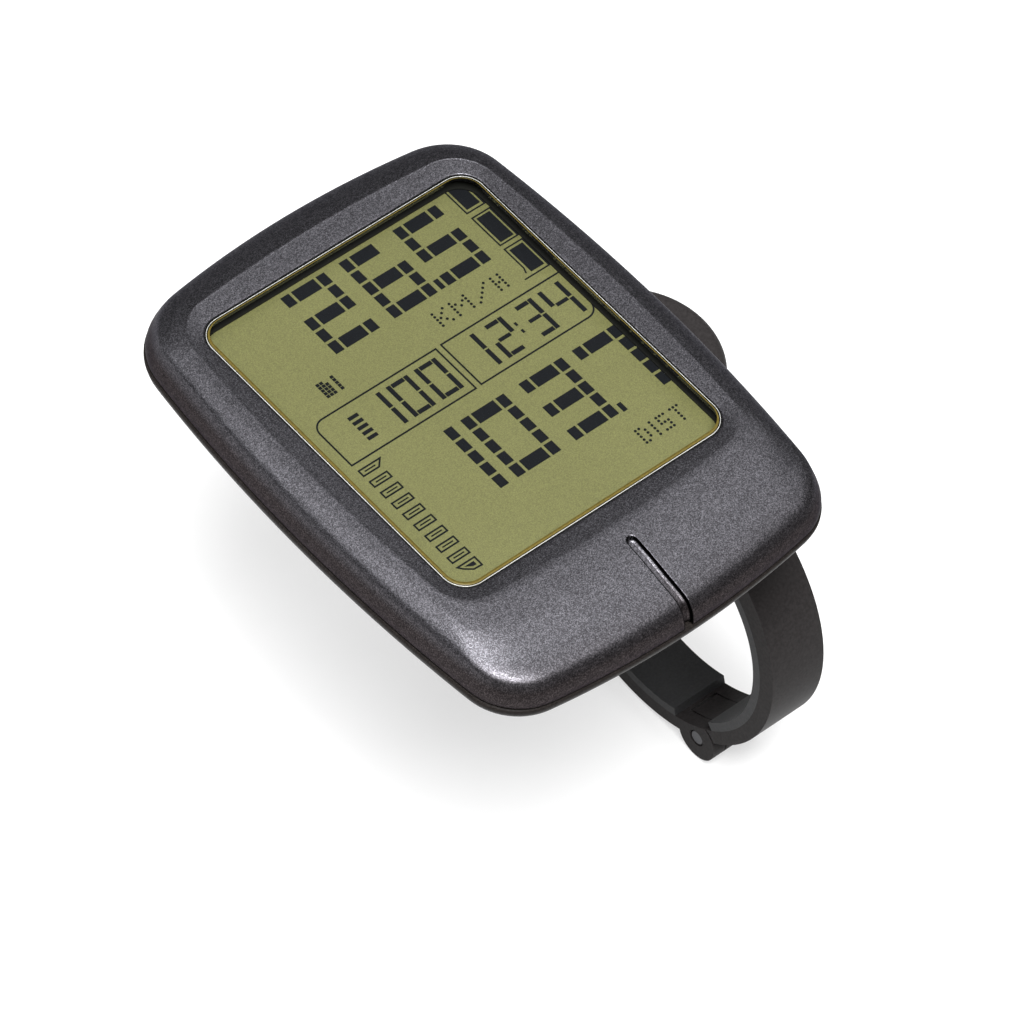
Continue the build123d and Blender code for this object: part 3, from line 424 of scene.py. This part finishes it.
# how far each level lies inside the outline at the sides, top and chin; level; corner; bow
COVER = (
    (6.40, 8.20, 15.00, -0.20, 3.0, 0.0),
    (6.37, 8.17, 14.97, -0.04, 3.0, 0.0),
    (6.24, 8.04, 14.84, 0.04, 3.1, 0.0),
    (4.35, 5.45, 12.90, 0.26, 4.4, 0.42),
    (4.00, 5.10, 12.20, 0.30, 4.8, 0.5),
    (3.65, 4.75, 11.10, 0.23, 5.0, 0.55),
    (2.60, 3.50, 8.10, -0.12, 5.4, 0.65),
    (1.45, 2.00, 4.90, -0.80, 6.0, 0.8),
    (0.92, 1.15, 1.90, -1.45, 6.5, 0.92),
    (0.60, 0.66, 0.80, -2.30, 6.8, 0.98),
    (0.30, 0.30, 0.30, -3.20, 7.0, 1.0),
    (0.12, 0.12, 0.12, -4.00, 7.0, 1.0),
    (0.12, 0.12, 0.12, SEAM, 7.0, 1.0),
)
# rings drawn between one level and the next
SPANS = (2, 3, 6, 4, 10, 20, 22, 20, 10, 8, 5, 4)
# the inside: seam lip, wall, ceiling and the window's wall
INSIDE = (
    (1.40, 1.40, 1.40, SEAM, 5.6, 1.0),
    (1.45, 1.45, 1.45, -3.0, 5.6, 1.0),
    (4.00, 4.50, 6.50, -1.75, 4.5, 0.6),
    (5.70, 7.50, 14.30, -1.10, 3.4, 0.0),
    (6.40, 8.20, 15.00, -1.10, 3.0, 0.0),
)


def cover_ring(row):
    side, top, chin, level, corner, bow = row
    loop = oblong(
        HALF_WIDTH - side,
        TOP_EDGE - top,
        CHIN_EDGE + chin,
        corner,
        SIDE_BOW * bow,
        END_BOW * bow,
        corner * (1 + TOP_ROUND * bow),
    )
    return [Vector((x, y, level)) for x, y in loop]


GROOVE_DEPTH = 0.7
GROOVE_REACH = 0.62
GROOVE_END = -27.2
WALL_WIDTH = 0.1
FOOT_WIDTH = 0.24
WALL_SHARE = 0.82
# the groove is cut only on this side of the shell
CHIN_SIDE = -20.0


def share_of(value):
    return min(1.0, max(0.0, value))


def groove_reach(x, y):
    """Distance from the groove's centre line, which ends at the middle of its round upper end."""
    return math.hypot(x, max(0.0, y - GROOVE_END))


def groove_share(x, y):
    """Share of the groove's depth: steep walls, a sloping foot along them and a flat floor."""
    if y >= CHIN_SIDE:
        return 0.0
    reach = groove_reach(x, y)
    wall = share_of((GROOVE_REACH - reach) / WALL_WIDTH)
    foot = share_of((GROOVE_REACH - WALL_WIDTH - reach) / FOOT_WIDTH)
    return WALL_SHARE * wall * wall * (3 - 2 * wall) + (1 - WALL_SHARE) * foot


def painted_groove_shade_at(x, y):
    """1 on the groove's walls and along the edge of its left side, where the paint is blackened as painted
    shade; 0 elsewhere.
    """
    on_wall = 0.02 < groove_share(x, y) < WALL_SHARE
    on_edge = x < 0.1 and y < CHIN_SIDE and 0.6 < groove_reach(x, y) < 0.72
    return 1.0 if on_wall or on_edge else 0.0


outer = []
for span, count in enumerate(SPANS):
    for step in range(count):
        outer.append(cover_ring(smooth_row(COVER, span + step / count)))
outer.append(cover_ring(COVER[-1]))
around = len(outer[0])
cut = [[p.copy() for p in ring] for ring in outer]
for i in range(1, len(outer)):
    for j in range(around):
        p = outer[i][j]
        depth = GROOVE_DEPTH * groove_share(p.x, p.y)
        if depth > 0:
            inward = Vector((0, 1, 0))
            if i < len(outer) - 1:
                along = outer[i + 1][j] - outer[i - 1][j]
                inward = Vector((0, -along.z, along.y)).normalized()
            cut[i][j] = p + inward * depth
rings = cut + [cover_ring(row) for row in INSIDE]
points = [p for ring in rings for p in ring]
faces = tube_faces(len(rings), around, True)

POST_AT = ((-14.5, -28.0), (14.5, -28.0))
POST_RADIUS = 1.4
POST_TOP = -1.3
# the posts end clear of the snap domes by what the key's stroke takes up
POST_END = -4.75 + 0.18
POST_STEPS = 32
SOFT_END = 0.15


def post(points, faces, centre):
    """Adds a closed round post with softened ends under the shell's ceiling."""
    base = len(points)
    profile = (
        (POST_RADIUS - SOFT_END, POST_END),
        (POST_RADIUS, POST_END + SOFT_END),
        (POST_RADIUS, POST_TOP - SOFT_END),
        (POST_RADIUS - SOFT_END, POST_TOP),
    )
    for radius, level in profile:
        for k in range(POST_STEPS):
            turn = 2 * math.pi * k / POST_STEPS
            x = centre[0] + radius * math.cos(turn)
            y = centre[1] + radius * math.sin(turn)
            points.append(Vector((x, y, level)))
    for face in tube_faces(len(profile), POST_STEPS, False):
        faces.append(tuple(base + k for k in face))
    faces.append(tuple(base + k for k in reversed(range(POST_STEPS))))
    faces.append(tuple(base + 3 * POST_STEPS + k for k in range(POST_STEPS)))


for centre in POST_AT:
    post(points, faces, centre)
shell = mesh_piece("front_shell_skin", points, faces, SHELL, "cover")
# painted shade: the groove's walls and the edge of its left side are marked for blackening
painted_groove_shade = shell.data.attributes.new("painted_groove_shade", "FLOAT", "POINT")
for i, ring in enumerate(outer):
    for j, p in enumerate(ring):
        painted_groove_shade.data[i * around + j].value = painted_groove_shade_at(p.x, p.y)
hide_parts("front_shell")

# ---- rim of the back shell below the seam ---------------------------------------------------------

# distance inside the outline, and level
RIM = (
    (0.06, -4.95),
    (0.0, -5.05),
    (0.0, -5.4),
    (0.12, -5.9),
    (0.5, -6.6),
    (1.2, -6.8),
    (1.3, -6.0),
    (1.3, -4.9),
    (1.2, RIM_TOP),
    (0.2, RIM_TOP),
)
rim_points = []
for inset, level in RIM:
    rim_points += cover_ring((inset, inset, inset, level, 7.0, 1.0))
mesh_piece("back_shell_rim", rim_points, tube_faces(len(RIM), around, True), CASE, "head")

# ---- window border: black lines of painted shade, a bright bevel of painted highlight and the lens's edge with its painted refraction ---

WINDOW_HALF_WIDTH = 19.0
WINDOW_HALF_LENGTH = 21.85
WINDOW_CORNER = 3.0
# each profile: distance inside the window's edge, and level
GAP_SHADE = ((-0.02, -0.3), (-0.02, -0.12), (0.13, -0.12), (0.13, -0.3))
BEVEL = ((0.13, -0.14), (0.14, -0.02), (0.17, 0.0), (0.2, 0.0), (0.2, -0.14))
INNER_SHADE_LINE = ((0.21, -0.05), (0.31, -0.05), (0.31, -0.16), (0.21, -0.16))
EDGE_REFRACTION = ((0.32, -0.06), (0.55, -0.06), (0.55, -0.16), (0.32, -0.16))
# the painted refraction of the display is drawn wider at the left and the chin
REFRACTION_SHIFT = 0.14


def window_ring(name, profile, material, shift=0.0):
    """A closed strip of the given cross-section along the window's border; its inner edge may be shifted."""
    ring_points = []
    for inset, level in profile:
        width = WINDOW_HALF_WIDTH - inset
        length = WINDOW_HALF_LENGTH - inset
        move = shift if inset == profile[1][0] else 0.0
        loop = oblong(width, length, -length, WINDOW_CORNER - inset, 0.0, 0.0)
        ring_points += [Vector((x + move, y + move, level)) for x, y in loop]
    ring_faces = tube_faces(len(profile), len(ring_points) // len(profile), True)
    mesh_piece(name, ring_points, ring_faces, material, "cover")


# painted shade: near-black strips stand for the dark gap between shell and lens and the dark line in the
# lens's edge
SHADE_LINE_BLACK = surface("gap", (0.003, 0.003, 0.003), 0.6, shine=0.1)
window_ring("lens_gap_shade", GAP_SHADE, SHADE_LINE_BLACK)
# painted highlight: a light grey bevel stands for the specular line on the lens's rounded edge
BEVEL_HIGHLIGHT_PAINT = surface("bevel", (0.42, 0.42, 0.4), 0.2, 0.0, 0.2, 0.3, 0.02)
window_ring("lens_bevel_highlight", BEVEL, BEVEL_HIGHLIGHT_PAINT)
window_ring("lens_inner_shade_line", INNER_SHADE_LINE, SHADE_LINE_BLACK)
# painted refraction: an ochre strip stands for the display's colour seen through the lens's side wall
REFRACTION_PAINT = surface("edge_refraction_paint", (0.092, 0.068, 0.014), 0.4, 0.0, 0.3, 0.2, 0.05, shine=0.2)
window_ring("lens_edge_refraction", EDGE_REFRACTION, REFRACTION_PAINT, REFRACTION_SHIFT)

# ---- display marks -------------------------------------------------------------------------------

# the marks stand just clear of the film
MARK_GAP = 0.004
MARK_THICK = 0.03
MARK_LOW = FILM + MARK_GAP
MARK_HIGH = MARK_LOW + MARK_THICK
# keeps a line's sharpest bends from growing into spikes
MITRE_LIMIT = 0.3
mark_points = []
mark_faces = []


def plate(outline):
    """Adds one printed mark: a thin closed plate over a convex outline given anticlockwise."""
    base = len(mark_points)
    count = len(outline)
    for level in (MARK_LOW, MARK_HIGH):
        mark_points.extend((x, y, level) for x, y in outline)
    mark_faces.append(tuple(base + k for k in reversed(range(count))))
    mark_faces.append(tuple(base + count + k for k in range(count)))
    for k in range(count):
        m = (k + 1) % count
        mark_faces.append((base + k, base + m, base + count + m, base + count + k))


def box_outline(x, y, width, height):
    left, right = x - width / 2, x + width / 2
    low, high = y - height / 2, y + height / 2
    return [(left, low), (right, low), (right, high), (left, high)]


def bar(x, y, width, height):
    plate(box_outline(x, y, width, height))


def arc(x, y, radius, start, end, count=8):
    """Points of an arc between two angles in degrees, both ends included."""
    turns = [math.radians(start + (end - start) * k / count) for k in range(count + 1)]
    return [(x + radius * math.cos(turn), y + radius * math.sin(turn)) for turn in turns]


def dot(x, y, radius):
    plate(arc(x, y, radius, 0, 360, 12)[:-1])


def stroke(path, width, closed=False):
    """Adds a line of constant width along a path, as one closed ribbon with mitred bends."""
    count = len(path)
    left = []
    right = []
    for k in range(count):
        p = Vector(path[k])
        before = Vector(path[k - 1]) if closed or k > 0 else None
        after = Vector(path[(k + 1) % count]) if closed or k < count - 1 else None
        first = (p - before).normalized() if before is not None else (after - p).normalized()
        second = (after - p).normalized() if after is not None else first
        n1 = Vector((-first.y, first.x))
        n2 = Vector((-second.y, second.x))
        mitre = (n1 + n2).normalized()
        reach = width / 2 / max(MITRE_LIMIT, mitre.dot(n1))
        left.append(p + mitre * reach)
        right.append(p - mitre * reach)
    base = len(mark_points)
    up = 2 * count
    for level in (MARK_LOW, MARK_HIGH):
        mark_points.extend((q.x, q.y, level) for q in left)
        mark_points.extend((q.x, q.y, level) for q in right)
    for k in range(count if closed else count - 1):
        m = (k + 1) % count
        a, b, c, d = base + k, base + m, base + count + m, base + count + k
        mark_faces.append((a, b, c, d))
        mark_faces.append((d + up, c + up, b + up, a + up))
        mark_faces.append((a, a + up, b + up, b))
        mark_faces.append((d, c, c + up, d + up))
    if not closed:
        a, d = base, base + count
        mark_faces.append((a, d, d + up, a + up))
        a, d = base + count - 1, base + 2 * count - 1
        mark_faces.append((a, a + up, d + up, d))


# large figures: three columns by five rows of cells, one string per row
BIG = {
    "0": ("LMR", "LR", "LR", "LR", "LMR"),
    "1": ("L", "L", "L", "L", "L"),
    "2": ("LMR", "R", "LMR", "L", "LMR"),
    "3": ("LMR", "R", "LMR", "R", "LMR"),
    "5": ("LMR", "L", "LMR", "R", "LMR"),
    "6": ("LM", "L", "LMR", "LR", "LMR"),
    "7": ("LMR", "R", "R", "R", "R"),
}
# each column's shift from the figure's middle, and the cell's width
CELL = {"L": (-2.45, 1.15), "M": (0.0, 3.08), "R": (2.45, 1.15)}
CELL_HEIGHT = 1.6
ROW_PITCH = 1.95
SPEED_TOP = 20.2
DISTANCE_TOP = -3.87


def big_figure(figure, x, top):
    for row, cells in enumerate(BIG[figure]):
        for cell in cells:
            shift, width = CELL[cell]
            bar(x + shift, top - row * ROW_PITCH, width, CELL_HEIGHT)


for figure, x in (("2", -4.54), ("6", 3.56), ("5", 11.12)):
    big_figure(figure, x, SPEED_TOP)
bar(7.42, 12.35, 0.62, 1.45)
for figure, x in (("1", -2.18), ("0", 0.19), ("3", 8.33), ("7", 15.85)):
    big_figure(figure, x, DISTANCE_TOP)
bar(12.17, -12.0, 0.58, 1.25)

# seven-segment figures
SEGMENTS = {"0": "abcdef", "1": "bc", "2": "abdeg", "3": "abcdg", "4": "bcfg"}
HALF_TALL = 2.45
HALF_WIDE = 1.2
THICK = 0.55
UPRIGHT = HALF_TALL - 0.1
UPRIGHT_AT = UPRIGHT / 2 + 0.1
# each segment's place from the figure's middle, width and height
SHAPES = {
    "a": (0, HALF_TALL - THICK / 2, 1.65, THICK),
    "g": (0, 0, 1.6, 0.48),
    "d": (0, -HALF_TALL + THICK / 2, 1.65, THICK),
    "f": (-HALF_WIDE, UPRIGHT_AT, THICK, UPRIGHT),
    "e": (-HALF_WIDE, -UPRIGHT_AT, THICK, UPRIGHT),
    "b": (HALF_WIDE, UPRIGHT_AT, THICK, UPRIGHT),
    "c": (HALF_WIDE, -UPRIGHT_AT, THICK, UPRIGHT),
}


def small_figure(figure, x, y):
    for name in SEGMENTS[figure]:
        dx, dy, width, height = SHAPES[name]
        bar(x + dx, y + dy, width, height)


for figure, x in (("1", -8.67), ("0", -4.85), ("0", -0.97)):
    small_figure(figure, x, 2.57)
for figure, x in (("1", 4.47), ("2", 8.32), ("3", 12.58), ("4", 16.45)):
    small_figure(figure, x, 2.62)
for y in (3.25, 2.1):
    bar(10.44, y, 0.3, 0.5)

# unit signs in dots, five rows each
DOTS = {
    "K": ("1001", "1010", "1100", "1010", "1001"),
    "M": ("10001", "11011", "10101", "10001", "10001"),
    "/": ("00001", "00010", "00100", "01000", "10000"),
    "H": ("101", "101", "111", "101", "101"),
    "D": ("110", "101", "101", "101", "110"),
    "I": ("1", "1", "1", "1", "1"),
    "S": ("111", "100", "111", "001", "111"),
    "T": ("111", "010", "010", "010", "010"),
}
DOT_PITCH = 0.483
DOT_ROWS = 0.472
DOT_RADIUS = 0.17


def dotted(word, x, top):
    for sign in word:
        for row, line in enumerate(DOTS[sign]):
            for column, on in enumerate(line):
                if on == "1":
                    dot(x + DOT_PITCH * column, top - DOT_ROWS * row, DOT_RADIUS)
        x += DOT_PITCH * (len(DOTS[sign][0]) + 1)


dotted("KM/H", 4.06, 9.64)
dotted("DIST", 11.14, -15.3)

# small battery sign and level bars at the left
for column in (0, 1, 2, 4):
    for row in range(1 if column == 2 else 0, 5):
        bar(-11.89 + DOT_PITCH * column, 9.55 - 0.45 * row, 0.4, 0.38)
for step in range(5):
    bar(-11.56, 4.08 - 0.8 * step, 1.33, 0.46)

# frames round the two small readings
LINE = 0.2
THIN = 0.18
stroke([(-15.83, -0.8), (1.35, -0.8), (1.35, 5.83)] + arc(-14.4, 4.4, 1.43, 90, 180), LINE, True)
stroke([(2.16, -0.72)] + arc(17.3, 0.85, 1.57, 270, 360) + [(18.87, 5.92), (2.16, 5.92)], LINE, True)

# charge blocks at the upper right
stroke(box_outline(17.4, 14.83, 2.5, 4.7), THIN, True)
bar(17.42, 14.83, 1.85, 4.05)
stroke([(16.15, 21.7), (16.15, 18.0), (18.65, 18.0), (18.65, 21.7)], THIN)
plate(((16.5, 18.4), (18.35, 18.4), (18.35, 20.6), (17.7, 21.6), (16.5, 21.7)))
stroke([(15.2, 7.3), (18.65, 7.3), (18.65, 11.8), (16.15, 11.8), (16.15, 8.6), (15.9, 7.9)], THIN)
plate(((16.5, 7.75), (18.35, 7.75), (18.35, 11.4), (16.5, 11.4)))

# effort boxes down the left side: the first has a peak, the last is cut off and filled
EFFORT_BOXES = 10
EFFORT_TOP = -2.2
EFFORT_PITCH = 1.783
EFFORT_X = -14.56
EFFORT_LEAN = 0.012
# half the width and half the height of a box
EFFORT_HALF = 1.17
EFFORT_TALL = 0.42


def effort_outline(step, x, y):
    left = x - EFFORT_HALF
    right = x + EFFORT_HALF
    if step == 0:
        low = y - EFFORT_TALL
        high = y + EFFORT_TALL
        return [(left, low), (x + 0.95, low), (x + 1.75, high), (left, high)]
    if step == EFFORT_BOXES - 1:
        cut_off = [(x - 0.75, y + 0.1), (x + 0.1, y - 0.55)]
        return [(left, y + 0.62), *cut_off, (right, y - 0.62), (right, y + 0.62)]
    return box_outline(x, y, 2 * EFFORT_HALF, 2 * EFFORT_TALL)


for step in range(EFFORT_BOXES):
    x = EFFORT_X + EFFORT_LEAN * step
    y = EFFORT_TOP - EFFORT_PITCH * step
    stroke(effort_outline(step, x, y), LINE, True)
    if step == EFFORT_BOXES - 1:
        plate(((x + 0.3, y - 0.2), (x + 0.75, y - 0.25), (x + 0.75, y + 0.28), (x - 0.5, y + 0.28)))
    else:
        bar(x + 0.05, y, 1.45, 0.16)
mesh_piece("lcd_marks", mark_points, mark_faces, INK, "head", smooth=False)

# ---- camera, light and floor ---------------------------------------------------------------------

camera_data = bpy.data.cameras.new("camera")
camera = bpy.data.objects.new("camera", camera_data)
scene.collection.objects.link(camera)
camera_data.sensor_width = 36.0
camera_data.lens = 246.1
camera_data.clip_start = 0.05
camera_data.clip_end = 10.0
camera_data.dof.use_dof = False
# the camera's place from the window's centre in mm, and its three directions in the row frame
CAMERA_AT = (-333.42, -317.66, 577.48)
RIGHT = Vector((0.7548, -0.6501, 0.0871))
DOWN = Vector((-0.4796, -0.6376, -0.6029))
AHEAD = Vector((0.4475, 0.4133, -0.7931))
turn = Matrix((RIGHT, -DOWN, -AHEAD)).transposed().to_4x4()
camera.matrix_world = Matrix.Translation(to_row(CAMERA_AT)) @ turn
scene.camera = camera

AIM = Vector((FACE.x, FACE.y, 0.03))


def softbox(name, location, size, power):
    """A square soft light in metres in the row frame, turned to the head."""
    data = bpy.data.lights.new(name, "AREA")
    data.shape = "RECTANGLE"
    data.size = size
    data.size_y = size
    data.energy = power
    lamp = bpy.data.objects.new(name, data)
    scene.collection.objects.link(lamp)
    lamp.location = location
    lamp.rotation_euler = (AIM - Vector(location)).to_track_quat("-Z", "Y").to_euler()


softbox("key", (-0.22, -0.22, 0.87), 0.46, 22.0)
softbox("chin", (0.40, 0.12, 0.84), 0.42, 1.5)
softbox("left", (-0.52, 0.30, 0.62), 0.40, 1.8)
world = bpy.data.worlds.new("studio")
world.use_nodes = True
world.node_tree.nodes["Background"].inputs["Color"].default_value = (*WHITE, 1.0)
world.node_tree.nodes["Background"].inputs["Strength"].default_value = 0.1
scene.world = world
scene.view_settings.view_transform = "Standard"
scene.view_settings.look = "None"
scene.view_settings.exposure = 0.0

FLOOR_HALF = 3.0
FLOOR_GAP = 0.0002
floor_level = cad_box[0][2] - FLOOR_GAP
floor_mesh = bpy.data.meshes.new("floor")
floor_corners = [
    (-FLOOR_HALF, -FLOOR_HALF, floor_level),
    (FLOOR_HALF, -FLOOR_HALF, floor_level),
    (FLOOR_HALF, FLOOR_HALF, floor_level),
    (-FLOOR_HALF, FLOOR_HALF, floor_level),
]
floor_mesh.from_pydata(floor_corners, [], [(0, 1, 2, 3)])
floor = bpy.data.objects.new("floor", floor_mesh)
scene.collection.objects.link(floor)
PALE = surface("floor_pale", grey(0.38), 0.9, 0.0, 4.0, 0.01, 0.02, 0.01)
floor_shader = PALE.node_tree.nodes["Principled BSDF"]
floor_shader.inputs["Emission Color"].default_value = (*WHITE, 1.0)
floor_shader.inputs["Emission Strength"].default_value = 0.6
floor.data.materials.append(PALE)
